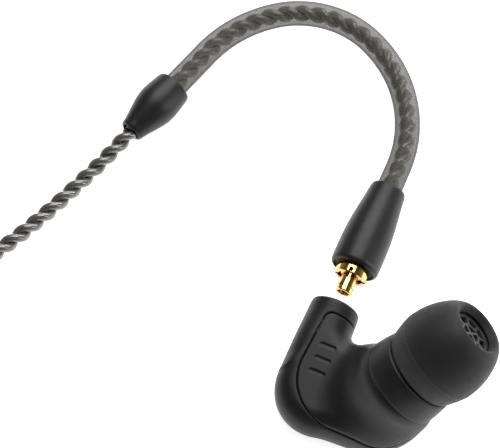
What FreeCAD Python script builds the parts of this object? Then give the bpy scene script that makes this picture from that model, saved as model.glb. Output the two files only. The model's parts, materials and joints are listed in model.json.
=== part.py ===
"""In-ear monitor with its detachable lead, lying on a table.

The earpiece lies on its flat outer faceplate with the nozzle pointing up and outwards. Its cable
connector is drawn out of the socket along their common axis. A clear formed tube carries the lead
over the ear, a tapered collar ends the tube, and the twisted cord runs on to a tied coil and a
3.5 mm plug.

Frame, in millimetres: the origin is the middle of the faceplate's outer face, +Z points up, and +Y
is the connector's axis, from the socket towards the plug.
"""

import FreeCAD, Part  # FreeCAD comes first: the other order crashes
import math
import os
import Sketcher
from FreeCAD import Placement, Rotation, Vector

DIMENSIONS = {
    # earpiece body, seen from above: a heel circle, a nozzle circle and the neck beside them
    "neck_x": -5.0, "neck_end_y": 9.0, "neck_r": 3.05,
    "heel_x": -2.65, "heel_y": -1.4, "heel_r": 5.4,
    "knob_x": 3.6, "knob_y": 0.3, "knob_r": 5.88,
    "notch_r": 1.8,
    "top_z": 6.2, "top_lean": 6.4, "top_round": 2.4, "foot_round": 1.6,
    "wall": 1.0, "faceplate_inset": 2.2, "faceplate_thick": 0.6,
    # lid, seen from above: a round foot, a leaning left edge and a top edge across the neck
    "lid_x": 0.0, "lid_y": 0.3, "lid_r": 6.0, "lid_lean": 4.8, "lid_top": 7.25, "lid_corner": 0.9,
    "lid_low": 2.6, "lid_gap": 0.05,
    # nozzle, measured along its own axis from the rim of the nozzle housing
    "rim_x": 7.62, "rim_y": 3.74, "rim_z": 8.12, "nozzle_yaw": 47.3, "nozzle_pitch": 40.0,
    "rim_r": 5.15, "seam_r": 5.5, "seam_depth": 3.0, "lip_r": 4.85, "seal_thick": 0.15,
    "stem_r": 2.9, "stem_end": 8.1, "barb_r": 3.1, "sound_bore_r": 2.2, "grille_seat_r": 2.62,
    "driver_bay_r": 4.45, "driver_bay_depth": 0.8,
    "tip_bore_r": 3.15, "tip_stem_r": 3.75, "tip_girth_r": 5.72, "tip_end": 9.2, "mouth_r": 3.3,
    # connector, measured along its axis from the end of the neck
    "socket_bore_r": 1.07, "socket_shell_r": 1.45, "socket_front": 1.5, "socket_back": 4.6,
    "neck_bore_r": 2.4, "neck_bore_depth": 5.3, "trim_depth": 0.55,
    "barrel_r": 1.0, "barrel_wall": 0.28, "barrel_tip": 2.2, "barrel_base_r": 1.25,
    "crown_ring_r": 2.0, "crown_ring_bore_r": 1.55, "crown_ring_front": 4.3,
    "boot_front": 5.5, "boot_end": 17.1, "boot_r": 3.0, "boot_end_r": 1.95,
    # ear hook
    "tube_r": 1.58, "tube_bore_r": 1.12, "hook_rise": 3.042, "hook_fall": 5.35,
    "hook_side_r": 16.71, "hook_top_r": 12.3, "hook_side_turn": 65.0, "hook_top_turn": 127.0,
    "hook_turn": 162.8, "collar_len": 9.0, "collar_r": 2.42, "collar_end_r": 1.5,
    # lead
    "cord_r": 1.05, "coil_x": -66.4, "coil_y": -0.2, "coil_in_r": 6.9, "coil_out_r": 16.1,
    "coil_base": 0.4, "coil_tall": 8.4, "tie_wide": 6.0, "tie_thick": 0.35,
    "jack_x": -81.6, "jack_front_y": 46.0, "jack_z": 3.1, "jack_r": 3.0, "jack_len": 14.0,
    "relief_len": 7.0, "pin_r": 1.75, "sleeve_len": 6.2, "ring_front": 9.0, "pin_len": 14.0,
}

doc = FreeCAD.newDocument("in_ear_monitor")


class Size(float):
    """A number that also holds the spreadsheet expression it comes from."""

    def __new__(cls, value, text):
        made = float.__new__(cls, value)
        made.text = text
        return made

    def _with(self, sign, other, value):
        return Size(value, f"({self.text} {sign} {text_of(other)})")

    def __add__(self, other):
        return self._with("+", other, float(self) + float(other))

    def __sub__(self, other):
        return self._with("-", other, float(self) - float(other))

    def __mul__(self, other):
        return self._with("*", other, float(self) * float(other))

    def __neg__(self):
        return Size(-float(self), f"(0 - {self.text})")


def text_of(number):
    return number.text if isinstance(number, Size) else f"{float(number):.6f}"


def fill_sheet():
    """The driving dimensions as a spreadsheet, and the same names as Size values."""
    sheet = doc.addObject("Spreadsheet::Sheet", "dims")
    sizes = {}
    for row, (alias, value) in enumerate(DIMENSIONS.items(), start=1):
        sheet.set(f"A{row}", alias)
        sheet.set(f"B{row}", str(value))
        sheet.setAlias(f"B{row}", alias)
        sizes[alias] = Size(value, f"dims.{alias}")
    doc.recompute()
    return sizes


D = fill_sheet()
parts = []


def keep(label, shape_object):
    """Names a sub-part. Its label is also its file name."""
    shape_object.Label = label
    parts.append(shape_object)
    return shape_object


def feature(label, shape, placement=None):
    made = doc.addObject("Part::Feature", label)
    made.Shape = shape
    if placement is not None:
        made.Placement = placement
    return keep(label, made)


# ---------------------------------------------------------------- local frames

NOZZLE_YAW, NOZZLE_PITCH = math.radians(D["nozzle_yaw"]), math.radians(D["nozzle_pitch"])
NOZZLE_AXIS = Vector(
    math.cos(NOZZLE_PITCH) * math.cos(NOZZLE_YAW),
    math.cos(NOZZLE_PITCH) * math.sin(NOZZLE_YAW),
    math.sin(NOZZLE_PITCH),
)
RIM_CENTRE = Vector(D["rim_x"], D["rim_y"], D["rim_z"])
NECK_END = Vector(D["neck_x"], D["neck_end_y"], D["neck_r"])
Z_AXIS, Y_AXIS = Vector(0, 0, 1), Vector(0, 1, 0)


def frame_at(origin, axis):
    """A placement whose own +Z is axis."""
    return Placement(origin, Rotation(Z_AXIS, axis))


CONNECTOR = frame_at(NECK_END, Y_AXIS)
NOZZLE = frame_at(RIM_CENTRE, NOZZLE_AXIS)
JACK = frame_at(Vector(D["jack_x"], D["jack_front_y"], D["jack_z"]), Y_AXIS)


# ---------------------------------------------------------------- turned parts


def dimension(sketch, kind, vertex, size):
    """Fixes one coordinate of a profile's vertex, from the sketch's origin."""
    if abs(size) < 1e-9:
        axis = -2 if kind == "DistanceX" else -1
        sketch.addConstraint(Sketcher.Constraint("PointOnObject", vertex, 1, axis))
        return
    made = sketch.addConstraint(Sketcher.Constraint(kind, -1, 1, vertex, 1, float(size)))
    if isinstance(size, Size):
        sketch.setExpression(f"Constraints[{made}]", size.text)


def turned(label, profile, frame):
    """A revolved body. profile is (radius, place along the frame's axis), in order round the section."""
    base = min((along for _, along in profile), key=float)
    body = doc.addObject("PartDesign::Body", label)
    sketch = body.newObject("Sketcher::SketchObject", f"{label}_profile")
    plane = next(f for f in body.Origin.OriginFeatures if f.Role == "XZ_Plane")
    sketch.AttachmentSupport = (plane, [""])
    sketch.MapMode = "FlatFace"
    corners = [(r, along - base) for r, along in profile]
    for i, (r, along) in enumerate(corners):
        after = corners[(i + 1) % len(corners)]
        ends = (Vector(r, along, 0), Vector(after[0], after[1], 0))
        sketch.addGeometry(Part.LineSegment(*ends))
    for i, (r, along) in enumerate(corners):
        sketch.addConstraint(Sketcher.Constraint("Coincident", i, 2, (i + 1) % len(corners), 1))
        dimension(sketch, "DistanceX", i, r)
        dimension(sketch, "DistanceY", i, along)
    turn = body.newObject("PartDesign::Revolution", f"{label}_turn")
    turn.Profile = sketch
    turn.ReferenceAxis = (sketch, ["V_Axis"])
    turn.Angle = 360
    body.Placement = frame.multiply(Placement(Vector(0, 0, base), Rotation()))
    return keep(label, body)


def slotted(label, body_shape, width, depth, count, radius, front, placement):
    """A ring with count radial slots cut into the end at front."""
    shape = body_shape
    for k in range(count):
        box = Part.makeBox(2 * radius, width, depth, Vector(0, -width / 2, front))
        box.rotate(Vector(), Z_AXIS, 360.0 * k / count)
        shape = shape.cut(box)
    return feature(label, shape, placement)


def ring(r_in, r_out, low, high):
    """A plain tube along the local Z axis."""
    outer = Part.makeCylinder(r_out, high - low, Vector(0, 0, low))
    if r_in <= 0:
        return outer
    return outer.cut(Part.makeCylinder(r_in, high - low, Vector(0, 0, low)))


def tube_part(label, r_in, r_out, low, high, frame):
    """A plain tube or disc made of Part cylinders bound to the sheet."""
    outer = doc.addObject("Part::Cylinder", f"{label}_outer")
    bind(outer, "Radius", r_out)
    bind(outer, "Height", high - low)
    place = frame.multiply(Placement(Vector(0, 0, low), Rotation()))
    if r_in <= 0:
        outer.Placement = place
        return keep(label, outer)
    inner = doc.addObject("Part::Cylinder", f"{label}_bore")
    bind(inner, "Radius", r_in)
    bind(inner, "Height", high - low)
    cut = doc.addObject("Part::Cut", label)
    cut.Base, cut.Tool = outer, inner
    cut.Placement = place
    return keep(label, cut)


def bind(thing, name, size):
    setattr(thing, name, float(size))
    if isinstance(size, Size):
        thing.setExpression(name, size.text)


# ---------------------------------------------------------------- routes of tubes and wires


def rounded_path(points, label):
    """Straight runs joined by tangent arcs, each arc as large as its two runs allow."""
    edges, start, radii = [], points[0], []
    for before, here, after in zip(points, points[1:], points[2:]):
        run_in, run_out = here - before, after - here
        shorter = min(run_in.Length, run_out.Length)
        back = 0.45 * shorter
        u, w = Vector(run_in).normalize(), Vector(run_out).normalize()
        turn = u.getAngle(w)
        radius = back / math.tan(turn / 2)
        towards = (w - u).normalize()
        entry, leave = here - u * back, here + w * back
        middle = here + towards * (radius / math.cos(turn / 2) - radius)
        edges += [Part.LineSegment(start, entry), Part.Arc(entry, middle, leave)]
        start = leave
        radii.append(round(radius, 1))
    edges.append(Part.LineSegment(start, points[-1]))
    print(f"{label}: arc radii {radii}")
    return Part.Wire([e.toShape() for e in edges])


def pipe(path, radius):
    """A solid round rod along a wire."""
    first = path.OrderedEdges[0]
    start, along = first.valueAt(first.FirstParameter), first.tangentAt(first.FirstParameter)
    circle = Part.Wire(Part.makeCircle(radius, start, along))
    made = path.makePipeShell([circle], True, False)
    expected = math.pi * radius * radius * path.Length
    if abs(made.Volume - expected) > 0.01 * expected:
        raise ValueError(f"swept volume {made.Volume:.2f}, expected {expected:.2f}")
    return made


# ---------------------------------------------------------------- earpiece shells


def outline(inset):
    """The earpiece seen from above, as a closed wire at Z = 0, moved in by inset."""
    heel, knob = Vector(D["heel_x"], D["heel_y"]), Vector(D["knob_x"], D["knob_y"])
    heel_r, knob_r, notch_r = D["heel_r"] - inset, D["knob_r"] - inset, D["notch_r"] + inset
    half = D["neck_r"] - inset
    left, right = D["neck_x"] - half, D["neck_x"] + half
    across = knob - heel
    bearing = math.atan2(across.y, across.x)
    lean = math.asin((heel_r - knob_r) / across.Length)
    under = bearing - math.pi / 2 - lean
    notch_x = right + notch_r
    notch_y = knob.y + math.sqrt((knob_r + notch_r) ** 2 - (knob.x - notch_x) ** 2)
    notch = Vector(notch_x, notch_y)
    facing = math.atan2(notch.y - knob.y, notch.x - knob.x)

    def on(centre, radius, angle):
        return centre + Vector(math.cos(angle), math.sin(angle)) * radius

    heel_from, heel_to = math.pi, 2 * math.pi + under
    notch_turn = facing + math.pi
    notch_from, notch_to = notch_turn, math.pi
    neck_top = D["neck_end_y"] + 1
    corners = [Vector(right, neck_top), Vector(left, neck_top), on(heel, heel_r, heel_from)]
    heel_end, knob_start = on(heel, heel_r, heel_to), on(knob, knob_r, under)
    knob_end, notch_end = on(knob, knob_r, facing), on(notch, notch_r, math.pi)
    edges = [
        Part.LineSegment(corners[0], corners[1]),
        Part.LineSegment(corners[1], corners[2]),
        Part.Arc(corners[2], on(heel, heel_r, (heel_from + heel_to) / 2), heel_end),
        Part.LineSegment(heel_end, knob_start),
        Part.Arc(knob_start, on(knob, knob_r, (under + facing) / 2), knob_end),
        Part.Arc(knob_end, on(notch, notch_r, (notch_from + notch_to) / 2), notch_end),
        Part.LineSegment(notch_end, corners[0]),
    ]
    return Part.Wire([e.toShape() for e in edges])


def prism(inset, low, high, neck_top):
    """The outline as a plain upright block that ends at Y = neck_top."""
    wire = outline(inset)
    wire.translate(Vector(0, 0, low))
    block = Part.Face(wire).extrude(Vector(0, 0, high - low))
    return block.common(Part.makeBox(60, 60, 60, Vector(-30, neck_top - 60, -10)))


def level(inset, height, tilt):
    """The outline at a height over the neck's end, leaning down towards the heel by tilt."""
    wire = outline(inset)
    wire.translate(Vector(0, 0, height))
    wire.rotate(Vector(0, D["neck_end_y"], height), Vector(1, 0, 0), tilt)
    return wire


def snout(inset):
    """The rise from the body to the seam, from an upright circle to a leaning one."""
    turn = Rotation(Z_AXIS, D["nozzle_yaw"])
    lean = turn.multiply(Rotation(Y_AXIS, 90 - D["nozzle_pitch"]))
    foot = Part.makeCircle(D["knob_r"] - 0.45 - inset)
    foot.Placement = Placement(Vector(D["knob_x"], D["knob_y"], 0.8 + 0.3 * inset), turn)
    seam = Part.makeCircle(D["seam_r"] - inset)
    seam_centre = RIM_CENTRE - NOZZLE_AXIS * (D["seam_depth"] + D["seal_thick"])
    seam.Placement = Placement(seam_centre, lean)
    return Part.makeLoft([Part.Wire(foot), Part.Wire(seam)], True, True)


def body_block():
    """The flat part of the earpiece: a rounded foot, an upright side and a rounded, leaning top."""
    foot, round_r, top, lean = D["foot_round"], D["top_round"], D["top_z"], D["top_lean"]
    levels = []
    for degrees in (0, 30, 60, 90):
        a = math.radians(degrees)
        inset, height = foot * (1 - math.sin(a)), foot * (1 - math.cos(a))
        levels.append(level(inset, height, lean * height / top))
    for degrees in (0, 22, 45, 67, 85):
        a = math.radians(degrees)
        inset, height = round_r * (1 - math.cos(a)), top - round_r * (1 - math.sin(a))
        levels.append(level(inset, height, lean * height / top))
    return Part.makeLoft(levels, True, True)


def hollow_block():
    """The room inside the flat part."""
    wall, top, lean = D["wall"], D["top_z"], D["top_lean"]
    low = level(wall, wall, 0)
    middle = level(wall, top - D["top_round"], lean / 2)
    high = level(wall + 0.9, top - wall, lean)
    room = Part.makeLoft([low, middle, high], True, True)
    neck_bottom = D["neck_end_y"] - D["neck_bore_depth"] - 0.4
    return room.common(Part.makeBox(60, 60, 60, Vector(-30, neck_bottom - 60, -10)))


def lid_block(inset, low):
    """Everything over Z = low that lifts off with the lid, moved in by inset from the lid's edge."""
    centre = Vector(D["lid_x"], D["lid_y"], low)
    lean, radius = math.radians(D["lid_lean"]), D["lid_r"] - inset
    tall, far = 20.0, 20.0
    tangent = centre + Vector(-math.cos(lean), math.sin(lean), 0) * radius
    top = D["lid_top"] - inset
    corner = tangent + Vector(math.tan(lean), 1, 0) * (top - tangent.y)
    points = [centre, tangent, corner, Vector(far, top, low), Vector(far, centre.y, low), centre]
    upper = Part.Face(Part.makePolygon(points)).extrude(Vector(0, 0, tall))
    upright = [
        edge for edge in upper.Edges
        if all((v.Point - corner).cross(Z_AXIS).Length < 0.001 for v in edge.Vertexes)
    ]
    upper = upper.makeFillet(D["lid_corner"] - inset, upright)
    return upper.fuse(Part.makeCylinder(radius, tall, centre))


def shell_shapes():
    """The back shell, and the front shell with its lid and the rise under the nozzle."""
    outer = body_block().common(Part.makeBox(60, 60, 60, Vector(-30, D["neck_end_y"] - 60, -10)))
    outer = outer.fuse(snout(0.0))
    seam = RIM_CENTRE - NOZZLE_AXIS * (D["seam_depth"] + D["seal_thick"])
    room = Part.makeCylinder(D["driver_bay_r"] + 0.02, 1.8, seam, -NOZZLE_AXIS)
    hollow = hollow_block().fuse(snout(1.38)).fuse(room)
    beyond_seam = Part.makeCylinder(8.0, 12.0, seam, NOZZLE_AXIS)
    shell = outer.cut(beyond_seam).cut(hollow)
    bore = Part.makeCylinder(D["neck_bore_r"], D["neck_bore_depth"] + 0.5, NECK_END, -Y_AXIS)
    trim_cut = Part.makeCylinder(4.0, D["trim_depth"], NECK_END, -Y_AXIS)
    shell = shell.cut(bore).cut(trim_cut)
    lid_low = D["lid_low"]
    pocket = lid_block(0.0, lid_low)
    plug = lid_block(D["lid_gap"], lid_low + 0.02)
    step = Part.makeBox(60, 60, 30, Vector(-30, -30, lid_low))
    nose = snout(0.0).common(step).cut(beyond_seam)
    back = shell.cut(pocket.fuse(nose))
    front = shell.common(plug.fuse(nose))
    plate_pocket = prism(D["faceplate_inset"], 0, D["faceplate_thick"], D["neck_end_y"] - 3.0)
    back = back.cut(plate_pocket)
    return back, front


def biggest(shape):
    """Only the largest solid, so that slivers from a cut are dropped."""
    return max(shape.Solids, key=lambda s: s.Volume)


def earpiece_shells():
    back, front = shell_shapes()
    feature("back_shell", biggest(back))
    feature("front_shell", biggest(front))
    plate = prism(
        D["faceplate_inset"] + 0.04, 0, D["faceplate_thick"] - 0.02, D["neck_end_y"] - 3.04
    )
    feature("faceplate", plate)


# ---------------------------------------------------------------- nozzle, ear tip and driver


def nozzle_parts():
    seam, front = -D["seam_depth"], 0.3
    turned(
        "nozzle_housing",
        [
            (D["driver_bay_r"], seam), (D["seam_r"], seam), (D["seam_r"] - 0.03, seam + 0.3),
            (D["rim_r"] + 0.12, -0.35), (D["rim_r"] - 0.1, 0), (D["lip_r"], front),
            (D["stem_r"] + 0.25, front), (D["stem_r"], front + 0.25), (D["stem_r"], 6.9),
            (D["barb_r"], 7.1), (D["barb_r"], 7.6), (D["stem_r"] - 0.1, D["stem_end"]),
            (D["grille_seat_r"], D["stem_end"]), (D["grille_seat_r"], 7.55),
            (D["sound_bore_r"], 7.55), (D["sound_bore_r"], -D["driver_bay_depth"]),
            (D["driver_bay_r"], -D["driver_bay_depth"]),
        ],
        NOZZLE,
    )
    tube_part("nozzle_seal", D["driver_bay_r"] + 0.1, D["seam_r"] - 0.06,
              seam - D["seal_thick"], seam, NOZZLE)
    grille = ring(0, D["grille_seat_r"] - 0.02, 0, 0.45)
    for r_in, r_out, count, web in ((1.42, 2.32, 8, 0.34), (0.28, 1.14, 4, 0.3)):
        holes = ring(r_in, r_out, -0.2, 0.8)
        for k in range(count):
            spoke = Part.makeBox(3, web, 2, Vector(0, -web / 2, -0.5))
            spoke.rotate(Vector(), Z_AXIS, 360.0 * (k + 0.5) / count)
            holes = holes.cut(spoke)
        grille = grille.cut(holes)
    feature("nozzle_grille", grille, frame_at(RIM_CENTRE + NOZZLE_AXIS * 7.56, NOZZLE_AXIS))


def ear_tip_parts():
    """The soft tip: a stem over the nozzle and a dome folded back from its mouth."""
    bore, stem, girth, end = D["tip_bore_r"], D["tip_stem_r"], D["tip_girth_r"], D["tip_end"]
    turned(
        "ear_tip",
        [
            (bore, 0.75), (stem, 0.75), (stem, 7.2), (4.35, 6.7), (4.85, 5.6), (5.1, 4.4),
            (5.16, 3.2), (5.0, 1.9), (4.7, 0.85), (5.02, 0.55), (5.42, 1.4), (5.64, 2.2),
            (girth, 3.1), (5.68, 4.1), (5.5, 5.3), (5.22, 6.4), (4.86, 7.3), (4.42, 8.2),
            (3.95, 8.8), (3.5, 9.15), (D["mouth_r"], end), (3.1, 9.05), (2.75, 8.45),
            (2.7, 8.2), (bore, 8.2),
        ],
        NOZZLE,
    )


def driver_parts():
    bay = D["driver_bay_r"] - 0.03
    turned(
        "driver_cover",
        [(1.6, -1.1), (bay, -1.1), (bay, -0.82), (1.9, -0.82), (1.6, -0.9)],
        NOZZLE,
    )
    turned(
        "driver_frame",
        [(3.22, -3.2), (bay, -3.2), (bay, -1.12), (4.1, -1.12), (4.1, -2.5), (3.22, -2.5)],
        NOZZLE,
    )
    turned(
        "driver_yoke",
        [
            (0.5, -4.5), (3.2, -4.5), (3.2, -2.55), (2.75, -2.55), (2.75, -4.0), (0.5, -4.0),
        ],
        NOZZLE,
    )
    tube_part("driver_magnet", 0.5, 1.75, -3.98, -2.95, NOZZLE)
    tube_part("driver_top_plate", 0.5, 1.85, -2.93, -2.5, NOZZLE)
    tube_part("driver_vent_cloth", 0, 0.9, -4.6, -4.52, NOZZLE)
    tube_part("driver_board", 1.0, 2.9, -4.8, -4.55, NOZZLE)


def voice_coil_parts():
    """The moving half of the driver: the domed diaphragm and the coil glued under it."""
    turned(
        "diaphragm",
        [
            (0, -1.5), (0.9, -1.55), (1.7, -1.75), (2.15, -2.0), (2.5, -2.0), (3.1, -1.78),
            (3.6, -1.9), (3.95, -2.05), (3.95, -1.99), (3.6, -1.84), (3.1, -1.72),
            (2.5, -1.94), (2.15, -1.94), (1.7, -1.69), (0.9, -1.49), (0, -1.44),
        ],
        NOZZLE,
    )
    tube_part("voice_coil", 2.15, 2.45, -3.5, -2.02, NOZZLE)


# ---------------------------------------------------------------- connector


def socket_parts():
    """The female half, inside the neck."""
    turned(
        "socket_trim",
        [
            (2.45, -D["trim_depth"]), (3.02, -D["trim_depth"]), (3.02, -0.2), (2.86, 0),
            (2.4, 0), (2.12, -0.25), (2.12, -D["trim_depth"]),
        ],
        CONNECTOR,
    )
    bore, shell = D["socket_bore_r"], D["socket_shell_r"]
    front, back = -D["socket_front"], -D["socket_back"]
    turned(
        "socket_shell",
        [
            (bore, back), (shell, back), (shell, front), (bore + 0.12, front),
            (bore, front - 0.12), (bore, -2.35), (bore + 0.09, -2.38), (bore + 0.09, -2.62),
            (bore, -2.65),
        ],
        CONNECTOR,
    )
    tube_part("socket_bush", shell + 0.01, D["neck_bore_r"] - 0.02, back, front - 0.1, CONNECTOR)
    tube_part("socket_insulator", 0.43, bore - 0.01, back, -3.6, CONNECTOR)
    turned(
        "socket_contact",
        [(0.24, -5.2), (0.42, -5.2), (0.42, -2.35), (0.34, -2.25), (0.24, -2.25)],
        CONNECTOR,
    )
    tube_part("socket_board", 0.46, D["neck_bore_r"] - 0.03, -5.0, -4.7, CONNECTOR)


def plug_parts():
    """The male half, on the lead."""
    tip, wall, r = D["barrel_tip"], D["barrel_wall"], D["barrel_r"]
    barrel = turned_shape(
        [
            (r - wall, tip), (r - 0.1, tip), (r, tip + 0.12), (r, 2.84), (r - 0.13, 2.87),
            (r - 0.13, 3.13), (r, 3.16), (r, 4.6), (D["barrel_base_r"], 4.62),
            (D["barrel_base_r"], 7.5), (r - wall, 7.5),
        ]
    )
    slotted("connector_barrel", barrel, 0.22, 1.5, 2, 1.2, tip - 0.1, CONNECTOR)
    front = D["crown_ring_front"]
    crown_ring = turned_shape(
        [
            (D["crown_ring_bore_r"], front), (D["crown_ring_r"] - 0.06, front),
            (D["crown_ring_r"], front + 0.08), (D["crown_ring_r"], 6.6),
            (D["barrel_base_r"] + 0.01, 6.6), (D["barrel_base_r"] + 0.01, 6.1),
            (D["crown_ring_bore_r"], 6.1),
        ]
    )
    slotted("connector_crown", crown_ring, 0.5, 0.75, 4, 2.3, front - 0.1, CONNECTOR)
    tube_part("connector_insulator", 0.21, r - wall - 0.01, 3.5, 7.5, CONNECTOR)
    turned(
        "connector_pin",
        [(0, 2.5), (0.1, 2.52), (0.2, 2.75), (0.2, 8.6), (0, 8.6)],
        CONNECTOR,
    )
    tube_part("crimp_ferrule", 1.1, 1.45, 8.7, 12.4, CONNECTOR)
    boot, end = D["boot_front"], D["boot_end"]
    turned(
        "plug_boot",
        [
            (2.52, boot), (2.78, boot), (D["boot_r"], boot + 0.25), (D["boot_r"], 9.5),
            (2.92, 11.5), (2.72, 13.6), (2.42, 15.4), (2.1, end - 0.25), (D["boot_end_r"], end),
            (1.6, end), (1.6, 12.5), (1.5, 12.5), (1.5, 7.6), (2.02, 7.6), (2.02, 7.0),
            (2.52, 7.0),
        ],
        CONNECTOR,
    )
    turned(
        "plug_front_ring",
        [(2.02, 5.9), (2.5, 5.75), (2.5, 6.98), (2.02, 6.98)],
        CONNECTOR,
    )


def turned_shape(profile):
    """A revolved solid as a bare shape, for parts that are cut again."""
    corners = [Vector(float(r), 0, float(along)) for r, along in profile]
    face = Part.Face(Part.makePolygon(corners + corners[:1]))
    return face.revolve(Vector(), Z_AXIS, 360)


def snap_ring_part():
    """The split ring that rides in the barrel's groove and snaps into the socket."""
    hoop = ring(D["barrel_r"] - 0.11, D["socket_bore_r"] - 0.02, 2.9, 3.1)
    gap = Part.makeBox(2, 0.5, 1, Vector(0, -0.25, 2.5))
    feature("snap_ring", hoop.cut(gap), CONNECTOR)


# ---------------------------------------------------------------- ear hook and lead


def hook_path(start_along, fall):
    """The hook's centre line, from start_along on the connector's axis to fall below its arcs."""
    x, y, z = D["neck_x"], D["neck_end_y"], D["neck_r"]
    here, turned_by = Vector(x, y + D["boot_end"] + D["hook_rise"], z), 0.0
    edges = [Part.LineSegment(Vector(x, y + start_along, z), here)]

    def outward(degrees):
        angle = math.radians(degrees)
        return Vector(math.cos(angle), math.sin(angle), 0)

    arcs = (
        (D["hook_side_r"], D["hook_side_turn"]),
        (D["hook_top_r"], D["hook_top_turn"]),
        (D["hook_side_r"], D["hook_turn"]),
    )
    for radius, turn in arcs:
        centre = here - outward(turned_by) * radius
        middle = centre + outward((turned_by + turn) / 2) * radius
        edges.append(Part.Arc(here, middle, centre + outward(turn) * radius))
        here, turned_by = centre + outward(turn) * radius, turn
    leave = outward(turned_by + 90)
    edges.append(Part.LineSegment(here, here + leave * fall))
    return Part.Wire([e.toShape() for e in edges]), here, leave


def hook_parts():
    """The formed tube, the cord inside it and the collar that ends it."""
    fall = float(D["hook_fall"])
    inserted, cord_end = fall + 4.0, fall + float(D["collar_len"]) - 0.1
    path, _, _ = hook_path(13.0, inserted)
    feature("ear_hook_tube", pipe(path, D["tube_r"]).cut(pipe(path, D["tube_bore_r"])))
    inner_path, arc_end, leave = hook_path(9.2, cord_end)
    feature("hook_cable", pipe(inner_path, D["cord_r"]))
    length = D["collar_len"]
    turned(
        "hook_collar",
        [
            (1.6, 0), (2.2, 0), (2.34, 0.2), (D["collar_r"] + 0.06, 2.6),
            (D["collar_r"] + 0.03, 4.2), (2.2, 5.8), (1.85, 7.4), (D["collar_end_r"], length - 0.3),
            (D["collar_end_r"] - 0.12, length), (1.12, length), (1.12, 4.1), (1.6, 4.1),
        ],
        frame_at(arc_end + leave * fall, leave),
    )


# Centre line of the free cord, from the mouth of the collar to the coil, and from the coil to
# the plug. Each run is a little straight, and each bend is an arc.
LEAD_ROUTE = [
    (-37.4, 20.85, 3.05), (-38.6, 17.6, 2.25), (-40.3, 13.9, 1.2), (-42.3, 8.6, 1.1),
    (-44.9, 2.7, 1.1), (-48.4, -3.8, 1.15), (-51.6, -10.6, 1.2), (-56.4, -15.6, 1.4),
]
TAIL_ROUTE = [(-81.1, 9.4, 6.9), (-81.3, 14.6, 5.2), (-81.5, 19.9, 3.6), (-81.6, 25.0, 3.1)]


def free_cord_parts():
    for label, route in (("cord_run", LEAD_ROUTE), ("cord_tail", TAIL_ROUTE)):
        path = rounded_path([Vector(*p) for p in route], label)
        feature(label, pipe(path, D["cord_r"]))
    low, tall, soft = D["coil_base"], D["coil_tall"], 1.0
    r_in, r_out, high = D["coil_in_r"], D["coil_out_r"], D["coil_base"] + D["coil_tall"]
    turned(
        "cord_coil",
        [
            (r_in, low + soft), (r_in + soft, low), (r_out - soft, low), (r_out, low + soft),
            (r_out, high - soft), (r_out - soft, high), (r_in + soft, high), (r_in, high - soft),
        ],
        Placement(Vector(D["coil_x"], D["coil_y"], 0), Rotation()),
    )
    thick, wide, gap = D["tie_thick"], D["tie_wide"], 0.04
    near_y, far_y = D["coil_y"] + r_in - 0.75, D["coil_y"] + r_out + 0.05
    outer = Part.makeBox(
        wide, far_y - near_y + 2 * thick, tall + 2 * gap + 2 * thick,
        Vector(D["coil_x"] - wide / 2, near_y - thick, low - gap - thick),
    )
    inner = Part.makeBox(
        wide, far_y - near_y, tall + 2 * gap,
        Vector(D["coil_x"] - wide / 2, near_y, low - gap),
    )
    feature("cable_tie", outer.cut(inner))


def jack_parts():
    """The lead's 3.5 mm plug: three contacts on one pin, with two insulating rings."""
    r, back, rear = D["pin_r"], -D["jack_len"], -D["jack_len"] - D["relief_len"]
    sleeve, ring_end, tip = D["sleeve_len"], D["ring_front"], D["pin_len"]
    turned(
        "jack_housing",
        [
            (2.2, back), (2.6, back), (D["jack_r"], back + 0.5), (D["jack_r"], -0.6),
            (2.7, 0), (1.52, 0), (1.52, -3.2), (2.2, -4.0),
        ],
        JACK,
    )
    turned(
        "jack_relief",
        [
            (1.12, rear), (1.45, rear), (1.6, rear + 0.3), (2.1, back - 1.0), (2.5, back - 0.02),
            (2.17, back - 0.02), (2.17, back + 2.5), (1.12, back + 2.5),
        ],
        JACK,
    )
    turned(
        "jack_sleeve",
        [(1.25, -3.0), (1.5, -3.0), (1.5, 0), (r, 0), (r, sleeve), (1.25, sleeve)],
        JACK,
    )
    turned(
        "jack_sleeve_insulator",
        [(0.91, -3.4), (1.24, -3.4), (1.24, sleeve), (r, sleeve), (r, 6.7), (0.91, 6.7)],
        JACK,
    )
    turned(
        "jack_ring",
        [(0.61, -4.2), (0.9, -4.2), (0.9, 6.71), (r, 6.71), (r, ring_end), (0.61, ring_end)],
        JACK,
    )
    tube_part("jack_tip_insulator", 0.56, r, ring_end, 9.5, JACK)
    turned(
        "jack_tip",
        [
            (0, -5.0), (0.55, -5.0), (0.55, 9.51), (r, 9.51), (r, 10.4), (1.2, 11.3),
            (1.2, 11.6), (1.55, 12.2), (1.55, 12.5), (0.5, tip), (0, tip),
        ],
        JACK,
    )


# ---------------------------------------------------------------- inner wiring

# Each wire runs from the driver's board to the socket's board, through the hollow shell.
SIGNAL_WIRE = [(4.0, 1.5, 5.0), (3.0, 1.0, 4.5), (0.0, 0.4, 3.6), (-3.4, 0.8, 3.2), (-4.2, 3.95, 3.2)]
GROUND_WIRE = [(5.2, -0.9, 4.2), (3.9, -1.6, 3.6), (0.6, -1.4, 2.8), (-4.2, 0.0, 2.5), (-5.5, 3.95, 2.6)]


def wire_parts():
    for label, route in (("signal_wire", SIGNAL_WIRE), ("ground_wire", GROUND_WIRE)):
        path = rounded_path([Vector(*p) for p in route], label)
        feature(label, pipe(path, 0.14))


# ---------------------------------------------------------------- build, check and write


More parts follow.
